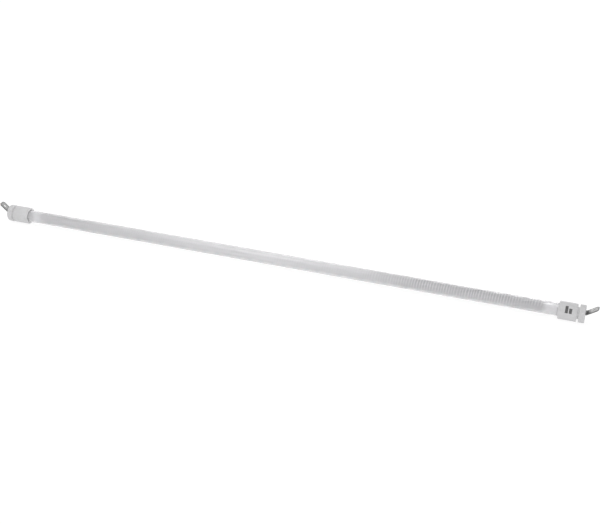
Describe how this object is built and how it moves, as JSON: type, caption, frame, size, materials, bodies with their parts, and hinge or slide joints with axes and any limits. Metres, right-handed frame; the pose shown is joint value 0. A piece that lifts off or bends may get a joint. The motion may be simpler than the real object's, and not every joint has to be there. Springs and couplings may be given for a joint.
{
  "type": "quartz heating element",
  "caption": "Straight milky quartz tube with a wire heating coil inside, closed by grooved white ceramic end caps with bent metal blade terminals.",
  "frame": {"origin": "on the tube's axis at mid-length", "axes": "+X along the tube towards the right end cap, +Z the way both blade terminals are turned up"},
  "size_m": [0.509, 0.0138, 0.0153],
  "materials": {
    "quartz": "milky, satin",
    "resistance_wire": "oxidised wire",
    "cap_ceramic": "matte, unglazed",
    "terminal_metal": "plated, satin",
    "sleeve_metal": "plated, satin"
  },
  "bodies": {
    "root": {"quartz_tube": "quartz", "heating_coil": "resistance_wire", "left_end_cap": "cap_ceramic", "right_end_cap": "cap_ceramic", "left_terminal_tab": "terminal_metal", "right_terminal_tab": "terminal_metal", "left_crimp_sleeve": "sleeve_metal", "right_crimp_sleeve": "sleeve_metal"}
  },
  "joints": []
}
